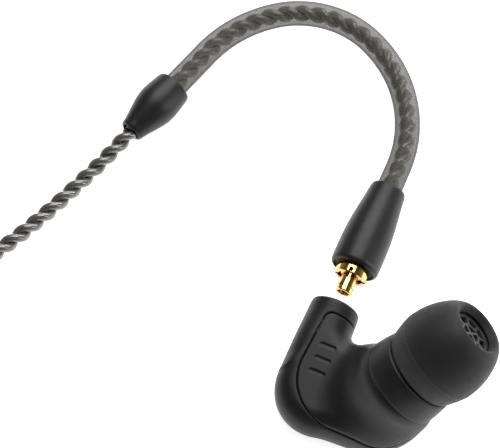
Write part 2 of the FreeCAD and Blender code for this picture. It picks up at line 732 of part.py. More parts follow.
def check_and_write():
    doc.recompute()
    for thing in doc.Objects:
        if {"Invalid", "Error"} & set(thing.State):
            raise ValueError(f"{thing.Name} is {thing.State}")
    os.makedirs("parts", exist_ok=True)
    for part in parts:
        shape = part.Shape
        if shape.isNull() or not shape.isValid() or len(shape.Solids) != 1:
            raise ValueError(f"{part.Label} has {len(shape.Solids)} solids, valid {shape.isValid()}")
        shape.exportStep(f"parts/{part.Label}.step")
        box = shape.BoundBox
        print(f"{part.Label}: {shape.Volume:.2f} mm3, Z {box.ZMin:.2f} to {box.ZMax:.2f}")
    print(len(parts), "sub-parts")


earpiece_shells()
nozzle_parts()
ear_tip_parts()
driver_parts()
voice_coil_parts()
socket_parts()
plug_parts()
snap_ring_part()
hook_parts()
free_cord_parts()
jack_parts()
wire_parts()
check_and_write()
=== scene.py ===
"""Looks of the in-ear monitor with its lead: shells, ear tip, gold connector, clear ear hook and cord.

The camera, the lights and the cord's route are in metres, in the part's frame. The other sizes are in
millimetres, as the part's own dimensions are, and MM turns them into metres where a mesh is made.
"""

import json
import math

import bpy
import numpy as np
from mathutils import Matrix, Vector


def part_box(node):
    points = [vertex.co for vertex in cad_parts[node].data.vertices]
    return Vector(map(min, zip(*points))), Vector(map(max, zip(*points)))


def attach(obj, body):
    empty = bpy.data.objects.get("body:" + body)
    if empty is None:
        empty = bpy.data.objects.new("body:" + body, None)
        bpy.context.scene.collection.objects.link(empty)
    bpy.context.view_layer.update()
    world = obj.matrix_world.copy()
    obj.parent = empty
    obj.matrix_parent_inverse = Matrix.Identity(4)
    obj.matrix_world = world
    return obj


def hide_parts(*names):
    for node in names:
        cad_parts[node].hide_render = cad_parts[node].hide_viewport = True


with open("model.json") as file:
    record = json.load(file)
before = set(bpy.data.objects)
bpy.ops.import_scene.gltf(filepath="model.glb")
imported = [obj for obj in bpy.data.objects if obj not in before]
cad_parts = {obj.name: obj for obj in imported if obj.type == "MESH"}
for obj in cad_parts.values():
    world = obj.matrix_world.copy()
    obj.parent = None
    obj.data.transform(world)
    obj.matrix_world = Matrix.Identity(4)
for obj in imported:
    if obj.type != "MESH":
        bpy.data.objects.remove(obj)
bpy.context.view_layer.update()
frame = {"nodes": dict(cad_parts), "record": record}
nodes = frame["nodes"]
scene = bpy.context.scene

MM = 0.001

# ---------------------------------------------------------------- dimensions, in mm

# The earpiece seen from above: a neck, a heel circle, and a knob circle that carries the nozzle.
NECK_END = np.array([-5.0, 9.0, 3.05])
NECK_R, NECK_FLARE = 3.05, 0.02
HEEL, HEEL_R = np.array([-2.65, -1.22]), 5.58
KNOB, KNOB_R = np.array([3.6, 0.3]), 5.88
NOTCH_R = 1.8
TOP_Z, TOP_LEAN = 6.2, math.radians(6.4)
# The roof's and the floor's rounded edges, and how much rounder they are at the neck.
ROOF_EDGE_R, ROOF_EDGE_MORE, FLOOR_EDGE_R, FLOOR_EDGE_MORE = 2.4, 0.55, 1.6, 1.3
# The rise under the nozzle runs from a ball in the body to the seam, and is blended into the body.
RISE_BALL, RISE_BALL_R, RISE_BLEND = (3.2, -0.1, 1.2), 5.2, 2.6
# Walls, and the rooms inside them.
WALL, THIN_WALL = 1.0, 0.45
SOCKET_ROOM_R, SOCKET_ROOM_DEPTH = 2.4, 5.7
DRIVER_ROOM_R, DRIVER_ROOM_DEPTH = 4.47, 4.0
FACEPLATE_INSET, FACEPLATE_THICK, FLOOR_WALL = 2.2, 0.6, 0.98
# The nozzle, with its axis through the middle of the nozzle housing's rim.
RIM_CENTRE = np.array([7.62, 3.74, 8.12])
YAW, PITCH = math.radians(47.3), math.radians(40)
NOZZLE_AXIS = np.array(
    [math.cos(PITCH) * math.cos(YAW), math.cos(PITCH) * math.sin(YAW), math.sin(PITCH)]
)
SEAM_DEPTH, SEAM_R = 3.15, 5.5
LID_GROOVE_HALF, LID_GROOVE_CHAMFER = 0.022, 0.2
# The lid seen from above, and the three plain bars sunk into it.
LID_CENTRE, LID_R, LID_LEAN = np.array([0.0, 0.3]), 6.0, math.radians(4.8)
LID_TOP, LID_CORNER, LID_LOW = 7.25, 0.9, 2.6
BAR_Y, BAR_STEP, BAR_FROM_X, BAR_TO_X, BAR_R, BAR_DEPTH = 3.2, 1.7, -4.5, -2.9, 0.17, 0.13
# The hook: three arcs that follow each other, each with its radius and the turn at its end.
HOOK_ARCS = ((16.71, math.radians(65)), (12.3, math.radians(127)), (16.71, math.radians(162.8)))
HOOK_RISE, HOOK_FALL = 3.042, 5.35
BOOT_END, COLLAR_LEN = 17.1, 9.0
TUBE_R, TUBE_BORE_R = 1.58, 1.12
# The cord, and the coil that its put-away length makes.
CORD_R = 1.05
TWIST_PITCH = 4.2
COIL = np.array([-66.4, -0.2])
COIL_MID_R, COIL_STEP, COIL_LOW = 11.5, 2.1, 1.45
COIL_COLUMNS, COIL_LAYERS = 4, 4


# ---------------------------------------------------------------- camera, light and floor


def add_camera():
    """A long lens, well above the earpiece and a little to its right."""
    azimuth, elevation, distance = math.radians(23.1), math.radians(66), 0.3
    target = Vector((-0.01885, 0.01515, 0.003))
    back = Vector(
        (
            math.sin(azimuth) * math.cos(elevation),
            -math.cos(azimuth) * math.cos(elevation),
            math.sin(elevation),
        )
    )
    data = bpy.data.cameras.new("camera")
    data.lens, data.sensor_width = 177.0, 36.0
    data.clip_start, data.clip_end = 0.01, 5.0
    camera = bpy.data.objects.new("camera", data)
    camera.location = target + back * distance
    camera.rotation_euler = (-back).to_track_quat("-Z", "Y").to_euler()
    scene.collection.objects.link(camera)
    scene.camera = camera


def add_area_light(name, place, size, power):
    """A rectangular light that faces a point beside the earpiece."""
    data = bpy.data.lights.new(name, "AREA")
    data.shape, data.size, data.size_y = "RECTANGLE", size[0], size[1]
    data.energy = power
    light = bpy.data.objects.new(name, data)
    light.location = place
    towards = Vector((-0.01, 0.01, 0.0)) - Vector(place)
    light.rotation_euler = towards.to_track_quat("-Z", "Y").to_euler()
    scene.collection.objects.link(light)


def add_world():
    """Soft surroundings: pale at the horizon, and dimmer higher up."""
    world = bpy.data.worlds.new("studio")
    scene.world = world
    world.use_nodes = True
    tree = world.node_tree
    background = tree.nodes["Background"]
    coordinate = tree.nodes.new("ShaderNodeTexCoord")
    split = tree.nodes.new("ShaderNodeSeparateXYZ")
    ramp = tree.nodes.new("ShaderNodeValToRGB")
    low, high = ramp.color_ramp.elements
    low.position, low.color = 0.03, (0.9, 0.9, 0.9, 1)
    high.position, high.color = 0.6, (0.09, 0.09, 0.093, 1)
    ramp.color_ramp.elements.new(0.12).color = (0.38, 0.38, 0.38, 1)
    tree.links.new(coordinate.outputs["Generated"], split.inputs[0])
    tree.links.new(split.outputs["Z"], ramp.inputs[0])
    tree.links.new(ramp.outputs["Color"], background.inputs["Color"])
    background.inputs["Strength"].default_value = 0.6


def add_floor(material):
    mesh = bpy.data.meshes.new("floor")
    half = 1.2
    corners = [(-half, -half, 0), (half, -half, 0), (half, half, 0), (-half, half, 0)]
    mesh.from_pydata(corners, [], [(0, 1, 2, 3)])
    floor = bpy.data.objects.new("floor", mesh)
    scene.collection.objects.link(floor)
    mesh.materials.append(material)


# ---------------------------------------------------------------- materials


class Shader:
    """A Principled material and short ways to give it procedural detail."""

    def __init__(self, name, colour, roughness, **settings):
        self.material = bpy.data.materials.new(name)
        self.material.use_nodes = True
        self.nodes = self.material.node_tree.nodes
        self.links = self.material.node_tree.links
        self.main = self.nodes["Principled BSDF"]
        self.main.inputs["Base Color"].default_value = (*colour, 1)
        self.main.inputs["Roughness"].default_value = roughness
        for key, value in settings.items():
            self.main.inputs[key.replace("_", " ")].default_value = value
        self.coordinate = self.nodes.new("ShaderNodeTexCoord")

    def noise(self, per_mm, detail=3.0, stretch=(1, 1, 1)):
        """Noise with this many features to the millimetre."""
        mapping = self.nodes.new("ShaderNodeMapping")
        mapping.inputs["Scale"].default_value = tuple(s * per_mm * 1000 for s in stretch)
        texture = self.nodes.new("ShaderNodeTexNoise")
        texture.inputs["Scale"].default_value = 1.0
        texture.inputs["Detail"].default_value = detail
        self.links.new(self.coordinate.outputs["Object"], mapping.inputs["Vector"])
        self.links.new(mapping.outputs["Vector"], texture.inputs["Vector"])
        return texture.outputs["Fac"]

    def between(self, factor, low, high, socket):
        """Spreads a 0 to 1 factor between two values or colours on a socket."""
        if isinstance(low, tuple):
            ramp = self.nodes.new("ShaderNodeValToRGB")
            ramp.color_ramp.elements[0].position, ramp.color_ramp.elements[1].position = 0.3, 0.7
            ramp.color_ramp.elements[0].color = (*low, 1)
            ramp.color_ramp.elements[1].color = (*high, 1)
            self.links.new(factor, ramp.inputs[0])
            self.links.new(ramp.outputs["Color"], self.main.inputs[socket])
        else:
            spread = self.nodes.new("ShaderNodeMapRange")
            spread.inputs["From Min"].default_value = 0.3
            spread.inputs["From Max"].default_value = 0.7
            spread.inputs["To Min"].default_value = low
            spread.inputs["To Max"].default_value = high
            self.links.new(factor, spread.inputs["Value"])
            self.links.new(spread.outputs["Result"], self.main.inputs[socket])

    def bump(self, factor, depth_mm):
        """Raises the surface by up to depth_mm where the factor is 1."""
        node = self.nodes.new("ShaderNodeBump")
        node.inputs["Strength"].default_value = 1.0
        node.inputs["Distance"].default_value = depth_mm * MM
        self.links.new(factor, node.inputs["Height"])
        self.links.new(node.outputs["Normal"], self.main.inputs["Normal"])


def moulded_plastic(name, colour, rough_low, rough_high, grain_mm=0.004):
    """Satin moulded plastic: a fine eroded grain, and faint cloudy patches in its sheen."""
    shader = Shader(name, colour, rough_low, IOR=1.5, Specular_IOR_Level=0.34)
    cloud = shader.noise(0.5, 4.0)
    lighter = tuple(c * 1.18 + 0.001 for c in colour)
    shader.between(cloud, colour, lighter, "Base Color")
    shader.between(shader.noise(1.6, 5.0), rough_low, rough_high, "Roughness")
    shader.bump(shader.noise(22.0, 2.0), grain_mm)
    return shader.material


def silicone(name, colour):
    """Matt soft silicone with a faint dusty sheen."""
    shader = Shader(
        name, colour, 0.6, IOR=1.42, Specular_IOR_Level=0.35, Sheen_Weight=0.06, Sheen_Roughness=0.5
    )
    shader.main.inputs["Subsurface Weight"].default_value = 0.08
    shader.main.inputs["Subsurface Radius"].default_value = (0.0006, 0.0005, 0.0005)
    shader.between(shader.noise(0.35, 4.0), colour, tuple(c * 1.15 for c in colour), "Base Color")
    shader.between(shader.noise(2.0, 4.0), 0.5, 0.64, "Roughness")
    shader.bump(shader.noise(14.0, 3.0), 0.003)
    return shader.material


def metal(name, colour, rough_low, rough_high, mark_depth_mm):
    """Plated or turned metal with faint tool marks across its axis."""
    shader = Shader(name, colour, rough_low, Metallic=1.0)
    shader.between(shader.noise(3.0, 4.0), colour, tuple(c * 0.88 for c in colour), "Base Color")
    shader.between(shader.noise(5.0, 4.0), rough_low, rough_high, "Roughness")
    shader.bump(shader.noise(4.0, 2.0, (0.2, 8.0, 0.2)), mark_depth_mm)
    return shader.material


def clear_plastic(name, colour, roughness, cover, edge_cover):
    """Smoky clear plastic: a wall hides more of what is behind it the more it is seen edge on."""
    shader = Shader(name, colour, roughness, IOR=1.3, Specular_IOR_Level=0.25, Alpha=cover)
    facing = shader.nodes.new("ShaderNodeLayerWeight")
    facing.inputs["Blend"].default_value = 0.4
    shader.between(facing.outputs["Facing"], cover, edge_cover, "Alpha")
    shader.between(shader.noise(0.8, 3.0), colour, tuple(c * 1.3 for c in colour), "Base Color")
    shader.between(shader.noise(0.8, 3.0), roughness * 0.8, roughness * 1.4, "Roughness")
    shader.bump(shader.noise(0.9, 2.0), 0.012)
    return shader.material


def jacket(name, colour):
    """The clear grey jacket of one strand, with the stranded copper showing through it."""
    shader = Shader(name, colour, 0.2, IOR=1.5, Coat_Weight=0.7, Coat_Roughness=0.08)
    shader.main.inputs["Metallic"].default_value = 0.35
    strands = shader.noise(6.0, 3.0)
    shader.between(strands, tuple(c * 0.7 for c in colour), tuple(c * 1.5 for c in colour), "Base Color")
    shader.between(shader.noise(2.5, 3.0), 0.16, 0.3, "Roughness")
    shader.bump(strands, 0.006)
    return shader.material


def woven(name, colour):
    """A woven strap: one wave pattern for the threads, with noise in its roughness."""
    shader = Shader(name, colour, 0.85, Sheen_Weight=0.3, Sheen_Roughness=0.4)
    wave = shader.nodes.new("ShaderNodeTexWave")
    wave.inputs["Scale"].default_value = 1400.0
    wave.inputs["Distortion"].default_value = 1.5
    shader.links.new(shader.coordinate.outputs["Object"], wave.inputs["Vector"])
    shader.between(wave.outputs["Fac"], colour, tuple(c * 1.9 for c in colour), "Base Color")
    shader.between(shader.noise(6.0, 3.0), 0.78, 0.95, "Roughness")
    shader.bump(wave.outputs["Fac"], 0.05)
    return shader.material


def paper_white():
    """The plain pale floor, which glows a little, like a lit table, so that shadows stay faint."""
    shader = Shader("floor_white", (0.86, 0.86, 0.86), 0.75)
    shader.main.inputs["Emission Color"].default_value = (1, 1, 1, 1)
    shader.main.inputs["Emission Strength"].default_value = 0.86
    shader.between(shader.noise(0.02, 3.0), (0.855,) * 3, (0.87,) * 3, "Base Color")
    return shader.material


def make_materials():
    made = {
        "shell_black": moulded_plastic("shell_plastic", (0.0095, 0.0096, 0.0098), 0.38, 0.47),
        "shell_edge": moulded_plastic("edge_plastic", (0.009, 0.0091, 0.0093), 0.34, 0.45),
        "silicone": silicone("tip_silicone", (0.0135, 0.0135, 0.0138)),
        "seal_rubber": moulded_plastic("seal_rubber_black", (0.008, 0.008, 0.0085), 0.5, 0.65),
        "mesh_black": moulded_plastic("grille_black", (0.035, 0.035, 0.036), 0.35, 0.5),
        "gold": metal("gold_plate", (0.88, 0.6, 0.23), 0.09, 0.16, 0.002),
        "clear_tube": clear_plastic("smoke_tube", (0.06, 0.058, 0.052), 0.34, 0.6, 0.96),
        "clear_bore": clear_plastic("smoke_tube_bore", (0.06, 0.058, 0.052), 0.34, 0.05, 0.1),
        "strand_grey": jacket("strand_jacket", (0.15, 0.146, 0.136)),
        # Painted light: the strands inside the tube are a lighter copy of the strand jacket, brightened
        # to stand in for the light that the smoky tube holds back.
        "strand_painted_light_in_tube": jacket("tube_strand_jacket_painted_light", (0.42, 0.4, 0.36)),
        "boot_grey": moulded_plastic("boot_plastic", (0.012, 0.012, 0.0122), 0.34, 0.44, 0.003),
        "insulator_white": moulded_plastic("insulator_plastic", (0.72, 0.71, 0.66), 0.4, 0.5),
        "steel": metal("plated_steel", (0.56, 0.56, 0.58), 0.25, 0.4, 0.003),
        "magnet": metal("nickel_plate", (0.62, 0.61, 0.58), 0.12, 0.22, 0.001),
        "film": clear_plastic("diaphragm_film", (0.7, 0.62, 0.42), 0.2, 0.35, 0.5),
        "copper": metal("copper_wire", (0.85, 0.42, 0.24), 0.2, 0.35, 0.004),
        "board": moulded_plastic("board_green", (0.02, 0.09, 0.04), 0.3, 0.45),
        "tie_black": woven("tie_weave", (0.02, 0.02, 0.021)),
    }
    return made


# ---------------------------------------------------------------- mesh helpers


def add_mesh(name, vertices_mm, faces, material, body, sharp_degrees=40):
    """Makes an object from points in millimetres, shaded smooth except over sharp edges."""
    mesh = bpy.data.meshes.new(name)
    mesh.from_pydata((np.asarray(vertices_mm) * MM).tolist(), [], faces)
    mesh.validate()
    mesh.materials.append(material)
    mesh.polygons.foreach_set("use_smooth", [True] * len(mesh.polygons))
    mesh.set_sharp_from_angle(angle=math.radians(sharp_degrees))
    made = bpy.data.objects.new(name, mesh)
    scene.collection.objects.link(made)
    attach(made, body)
    return made


def basis(axis):
    """Two directions square to an axis."""
    axis = np.asarray(axis, float) / np.linalg.norm(axis)
    side = np.cross(axis, [0.0, 0.0, 1.0])
    if np.linalg.norm(side) < 1e-6:
        side = np.array([1.0, 0.0, 0.0])
    side /= np.linalg.norm(side)
    return side, np.cross(axis, side), axis


def soften(profile, rounds):
    """Cuts the corners of a closed profile again and again, so that they end up rounded."""
    points = np.asarray(profile, float)
    keep = 0.28
    for _ in range(rounds):
        after = np.roll(points, -1, axis=0)
        near = points + (after - points) * keep
        far = points + (after - points) * (1 - keep)
        points = np.stack([near, far], axis=1).reshape(-1, 2)
        keep = 0.25
    return points


def lathe(name, profile, origin, axis, material, body, rounds):
    """Turns a closed profile of (radius, place along the axis) into a smooth solid."""
    points = soften(profile, rounds)
    around = 128
    u, v, w = basis(axis)
    angles = np.linspace(0, 2 * math.pi, around, endpoint=False)
    ring = np.cos(angles)[:, None] * u + np.sin(angles)[:, None] * v
    vertices = origin + points[:, 0][:, None, None] * ring + points[:, 1][:, None, None] * w
    count = len(points)
    faces = []
    for i in range(count):
        j = (i + 1) % count
        for k in range(around):
            m = (k + 1) % around
            faces.append((i * around + k, i * around + m, j * around + m, j * around + k))
    return add_mesh(name, vertices.reshape(-1, 3), faces, material, body)


def frames_along(points):
    """Directions along a line and two sides that turn as little as they can."""
    along = np.gradient(points, axis=0)
    along /= np.linalg.norm(along, axis=1)[:, None]
    side, _, _ = basis(along[0])
    sides = [side]
    for a in along[1:]:
        side = sides[-1] - a * np.dot(sides[-1], a)
        sides.append(side / np.linalg.norm(side))
    sides = np.array(sides)
    return along, sides, np.cross(along, sides)


def spaced(points, gap):
    """The same line with points an even distance apart."""
    points = np.asarray(points, float)
    steps = np.linalg.norm(np.diff(points, axis=0), axis=1)
    far = np.concatenate([[0], np.cumsum(steps)])
    wanted = np.linspace(0, far[-1], int(far[-1] / gap) + 1)
    return np.stack([np.interp(wanted, far, points[:, i]) for i in range(3)], axis=1), wanted


def tube_mesh(line, radius, around, closed_ends=True):
    """Rings of points round a line, with the faces between them."""
    _, side, up = frames_along(line)
    angles = np.linspace(0, 2 * math.pi, around, endpoint=False)
    across, along = np.cos(angles)[None, :, None], np.sin(angles)[None, :, None]
    ring = across * side[:, None, :] + along * up[:, None, :]
    vertices = (line[:, None, :] + ring * radius).reshape(-1, 3)
    faces = []
    for i in range(len(line) - 1):
        for k in range(around):
            m = (k + 1) % around
            a, b = i * around, (i + 1) * around
            faces.append((a + k, a + m, b + m, b + k))
    if closed_ends:
        last = (len(line) - 1) * around
        faces.append(tuple(range(around - 1, -1, -1)))
        faces.append(tuple(last + k for k in range(around)))
    return vertices, faces


def twisted_pair(name, line_mm, material, body, around=12, gap=0.3):
    """Two strands laid round each other along a line."""
    line, far = spaced(line_mm, gap)
    _, side, up = frames_along(line)
    strand_r = CORD_R / 2
    vertices, faces, base = [], [], 0
    for k in range(2):
        turn = 2 * math.pi * far / TWIST_PITCH + math.pi * k
        centre = line + strand_r * (np.cos(turn)[:, None] * side + np.sin(turn)[:, None] * up)
        points, quads = tube_mesh(centre, strand_r, around)
        vertices.append(points)
        faces += [tuple(i + base for i in q) for q in quads]
        base += len(points)
    return add_mesh(name, np.concatenate(vertices), faces, material, body, 80)


# ---------------------------------------------------------------- shells, from a distance field


def smooth_min(a, b, k):
    """The nearer of two distances, blended over k."""
    mix = np.clip(0.5 + 0.5 * (b - a) / k, 0, 1)
    return b + (a - b) * mix - k * mix * (1 - mix)


def smooth_max(a, b, k):
    return -smooth_min(-a, -b, k)


def rounded_both(a, b, r):
    """Inside both distances, with their shared edge rounded to radius r."""
    inside = np.minimum(np.maximum(a + r, b + r), 0)
    return inside + np.hypot(np.maximum(a + r, 0), np.maximum(b + r, 0)) - r


def ease(low, high, value):
    t = np.clip((value - low) / (high - low), 0, 1)
    return t * t * (3 - 2 * t)


def round_cone(x, y, z, a, ra, b, rb):
    """Roughly the distance to a ball at a, a ball at b and the cone between them."""
    axis = np.asarray(b) - np.asarray(a)
    length_squared = float(axis @ axis)
    t = ((x - a[0]) * axis[0] + (y - a[1]) * axis[1] + (z - a[2]) * axis[2]) / length_squared
    t = np.clip(t, 0, 1)
    away = np.sqrt(
        (x - a[0] - t * axis[0]) ** 2 + (y - a[1] - t * axis[1]) ** 2 + (z - a[2] - t * axis[2]) ** 2
    )
    return away - (ra + (rb - ra) * t)


def plan_distance(x, y):
    """Distance to the earpiece's outline, seen from above."""
    across = KNOB - HEEL
    t = np.clip(((x - HEEL[0]) * across[0] + (y - HEEL[1]) * across[1]) / float(across @ across), 0, 1)
    away = np.hypot(x - HEEL[0] - t * across[0], y - HEEL[1] - t * across[1])
    foot = away - (HEEL_R + (KNOB_R - HEEL_R) * t)
    dx = np.abs(x - NECK_END[0]) - NECK_R - NECK_FLARE * (NECK_END[1] - y)
    dy = np.maximum(HEEL[1] - y, y - 20)
    neck = np.minimum(np.maximum(dx, dy), 0) + np.hypot(np.maximum(dx, 0), np.maximum(dy, 0))
    r = 0.02 + NOTCH_R * ease(-6.0, -3.0, x)
    return np.maximum(r, np.minimum(foot, neck)) - np.hypot(
        np.maximum(r - foot, 0), np.maximum(r - neck, 0)
    )


def lid_distance(x, y):
    """Distance to the lid's edge from above: a leaning line on the left, and a round foot under it."""
    left_of, under = np.minimum(x - LID_CENTRE[0], 0), np.minimum(y - LID_CENTRE[1], 0)
    round_foot = np.hypot(left_of, under) - LID_R
    left = (LID_CENTRE[0] - x) * math.cos(LID_LEAN) + (y - LID_CENTRE[1]) * math.sin(LID_LEAN) - LID_R
    upper = rounded_both(left, y - LID_TOP, LID_CORNER)
    return np.where(y < LID_CENTRE[1], round_foot, upper)


def shell_fields(step):
    """Distance fields of the two shells on a grid, and the grid's low corner."""
    low = np.array([-8.6, -8.0, -0.4])
    high = np.array([11.0, 9.4, 12.9])
    axes = [np.arange(low[i], high[i], step, dtype=np.float32) for i in range(3)]
    x, y, z = np.meshgrid(*axes, indexing="ij", sparse=True)
    plan = plan_distance(x, y)
    to_neck = ease(3.5, 8.0, y)
    roof = (z - TOP_Z + (9.0 - y) * math.tan(TOP_LEAN)) * math.cos(TOP_LEAN)
    roof = roof + 0.1 * to_neck
    body = rounded_both(plan, roof, ROOF_EDGE_R + ROOF_EDGE_MORE * to_neck)
    body = rounded_both(body, -z, FLOOR_EDGE_R + FLOOR_EDGE_MORE * to_neck)

    away = [x - RIM_CENTRE[0], y - RIM_CENTRE[1], z - RIM_CENTRE[2]]
    along = away[0] * NOZZLE_AXIS[0] + away[1] * NOZZLE_AXIS[1] + away[2] * NOZZLE_AXIS[2]
    radial = np.sqrt(np.maximum(away[0] ** 2 + away[1] ** 2 + away[2] ** 2 - along ** 2, 0))
    depth = -along - SEAM_DEPTH
    seam_centre = RIM_CENTRE - NOZZLE_AXIS * SEAM_DEPTH
    rise_top = seam_centre + NOZZLE_AXIS * 1.0
    rise = round_cone(x, y, z, RISE_BALL, RISE_BALL_R, rise_top, SEAM_R + 0.35)
    rise = smooth_max(rise, (radial - SEAM_R - 0.55 * depth) * 0.87, 0.8)
    rise = smooth_max(rise, 0.9 - z, 0.8)
    outer = smooth_min(body, rise, RISE_BLEND)

    # Near the seam the shell narrows to the nozzle housing's own radius, and it is cut there.
    elsewhere = 6 * ease(1.0, 5.0, depth) + 6 * ease(7.0, 9.5, radial)
    collar = (radial - SEAM_R - 0.9 * np.maximum(depth, 0)) * 0.75
    outer = smooth_max(outer, collar - elsewhere, 0.3)
    outer = smooth_max(outer, -z, 0.15)
    thin_wall = outer + THIN_WALL
    outer = smooth_max(outer, -depth, 0.06)
    outer = np.maximum(outer, y - (NECK_END[1] - 0.55))

    # The hollow follows the skin, and two rooms take out more, but leave at least the thin wall.
    inner = outer + WALL
    socket = np.hypot(x - NECK_END[0], z - NECK_END[2]) - SOCKET_ROOM_R
    socket = np.maximum(socket, NECK_END[1] - SOCKET_ROOM_DEPTH - y)
    driver_room = np.maximum(radial - DRIVER_ROOM_R, depth - DRIVER_ROOM_DEPTH)
    hollow = np.minimum(inner, np.maximum(np.minimum(socket, driver_room), thin_wall))
    hollow = np.maximum(hollow, FLOOR_WALL - z)
    shell = np.maximum(outer, -hollow)
    faceplate = np.maximum(plan + FACEPLATE_INSET, z - FACEPLATE_THICK)
    shell = np.maximum(shell, -faceplate)

    # The lid is the front shell. The groove round it closes below the skin, where both shells meet.
    lid = smooth_max(lid_distance(x, y), LID_LOW - z, 0.8)
    gap = LID_GROOVE_HALF - 0.04 * ease(0.3, 0.42, -outer)
    front = smooth_max(shell, lid + gap, LID_GROOVE_CHAMFER)
    back = smooth_max(shell, gap - lid, LID_GROOVE_CHAMFER)
    for bar in range(3):
        at_y = BAR_Y - BAR_STEP * bar
        from_axis = np.hypot(x - np.clip(x, BAR_FROM_X, BAR_TO_X), y - at_y) - BAR_R
        mark = np.maximum(from_axis, -(outer + BAR_DEPTH))
        front = smooth_max(front, -mark, 0.08)
    return low, back, front


def surface_of(field, low, step):
    """A quad mesh of the field's zero surface: one point in each cell that it crosses."""
    inside = field < 0
    corner = [inside[i:i + inside.shape[0] - 1, j:j + inside.shape[1] - 1, k:k + inside.shape[2] - 1]
              for i in (0, 1) for j in (0, 1) for k in (0, 1)]
    total = sum(c.astype(np.int8) for c in corner)
    cells = np.argwhere((total > 0) & (total < 8))
    index = -np.ones(total.shape, dtype=np.int64)
    index[tuple(cells.T)] = np.arange(len(cells))
    sums, counts = np.zeros((len(cells), 3)), np.zeros(len(cells))
    offsets = [(i, j, k) for i in (0, 1) for j in (0, 1) for k in (0, 1)]
    for a in offsets:
        for axis in range(3):
            if a[axis]:
                continue
            b = list(a)
            b[axis] = 1
            fa = field[tuple((cells + a).T)]
            fb = field[tuple((cells + b).T)]
            crossed = (fa < 0) != (fb < 0)
            t = np.where(crossed, fa / np.where(crossed, fa - fb, 1), 0)
            point = np.repeat(np.array([a], float), len(cells), axis=0)
            point[:, axis] = t
            sums += point * crossed[:, None]
            counts += crossed
    vertices = low + (cells + sums / counts[:, None]) * step
    faces = []
    for axis in range(3):
        one, two = (axis + 1) % 3, (axis + 2) % 3
        shift = [0, 0, 0]
        shift[axis] = 1
        n = inside.shape
        here = inside[:n[0] - shift[0], :n[1] - shift[1], :n[2] - shift[2]]
        there = inside[shift[0]:, shift[1]:, shift[2]:]
        edges = np.argwhere(here != there)
        good = (edges[:, one] > 0) & (edges[:, two] > 0)
        good &= (edges[:, one] < n[one] - 1) & (edges[:, two] < n[two] - 1)
        edges = edges[good]
        quad = []
        for d1, d2 in ((-1, -1), (0, -1), (0, 0), (-1, 0)):
            cell = edges.copy()
            cell[:, one] += d1
            cell[:, two] += d2
            quad.append(index[tuple(cell.T)])
        quad = np.stack(quad, axis=1)
        flip = ~here[tuple(edges.T)]
        quad[flip] = quad[flip][:, ::-1]
        faces.append(quad)
    return vertices, np.concatenate(faces)


def keep_biggest(vertices, faces):
    """Drops crumbs: keeps the points joined to the largest connected part."""
    label = np.arange(len(vertices))
    while True:
        low = label[faces].min(axis=1)
        new = label.copy()
        np.minimum.at(new, faces.reshape(-1), np.repeat(low, 4))
        new = new[new]
        if (new == label).all():
            break
        label = new
    names, counts = np.unique(label, return_counts=True)
    wanted = label == names[counts.argmax()]
    renumber = np.cumsum(wanted) - 1
    faces = faces[wanted[faces].all(axis=1)]
    return vertices[wanted], renumber[faces]


def add_shells(materials):
    step = 0.085
    low, back, front = shell_fields(step)
    for name, field in (("back_shell_skin", back), ("front_shell_skin", front)):
        vertices, faces = keep_biggest(*surface_of(field, low, step))
        node = name.replace("_skin", "")
        skin = add_mesh(
            name, vertices, faces.tolist(), materials["shell_black"], "earpiece", 55
        )
        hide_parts(node)
        print(name, len(vertices), "points")


# ---------------------------------------------------------------- turned pieces on the nozzle


def add_nozzle(materials):
    housing = lathe(
        "nozzle_housing_skin",
        [
            (4.47, -3.1), (5.44, -3.1), (5.49, -3.05), (5.47, -2.3), (5.38, -1.2), (5.27, -0.4),
            (5.2, -0.12), (4.98, -0.02), (4.86, 0.0), (4.82, 0.22), (4.72, 0.3), (3.2, 0.3),
            (2.95, 0.4), (2.9, 0.6), (2.9, 6.8), (3.08, 7.05), (3.1, 7.3), (3.08, 7.6),
            (2.8, 8.06), (2.64, 8.1), (2.63, 7.9), (2.63, 7.56), (2.2, 7.55), (2.2, -0.78),
            (2.3, -0.8), (4.4, -0.8), (4.47, -0.9),
        ],
        RIM_CENTRE, NOZZLE_AXIS, materials["shell_black"], "earpiece", rounds=2,
    )
    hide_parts("nozzle_housing")
    tip = lathe(
        "ear_tip_skin",
        [
            (3.15, 0.75), (3.75, 0.75), (3.75, 7.2), (4.35, 6.7), (4.85, 5.6), (5.1, 4.4),
            (5.16, 3.2), (5.0, 1.9), (4.8, 0.6), (4.9, 0.28), (5.05, 0.22), (5.2, 0.4),
            (5.45, 1.3), (5.66, 2.1), (5.75, 2.74), (5.765, 2.84), (5.79, 2.86), (5.805, 2.94),
            (5.81, 3.1), (5.78, 4.1), (5.61, 5.3), (5.3, 6.4), (4.93, 7.3), (4.47, 8.2),
            (3.98, 8.8), (3.62, 9.12), (3.4, 9.2), (3.2, 9.12), (3.05, 8.9), (2.78, 8.45),
            (2.72, 8.25), (3.15, 8.2),
        ],
        RIM_CENTRE, NOZZLE_AXIS, materials["silicone"], "ear_tip", rounds=3,
    )
    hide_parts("ear_tip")


# ---------------------------------------------------------------- boot, hook and collar

Y_AXIS = np.array([0.0, 1.0, 0.0])


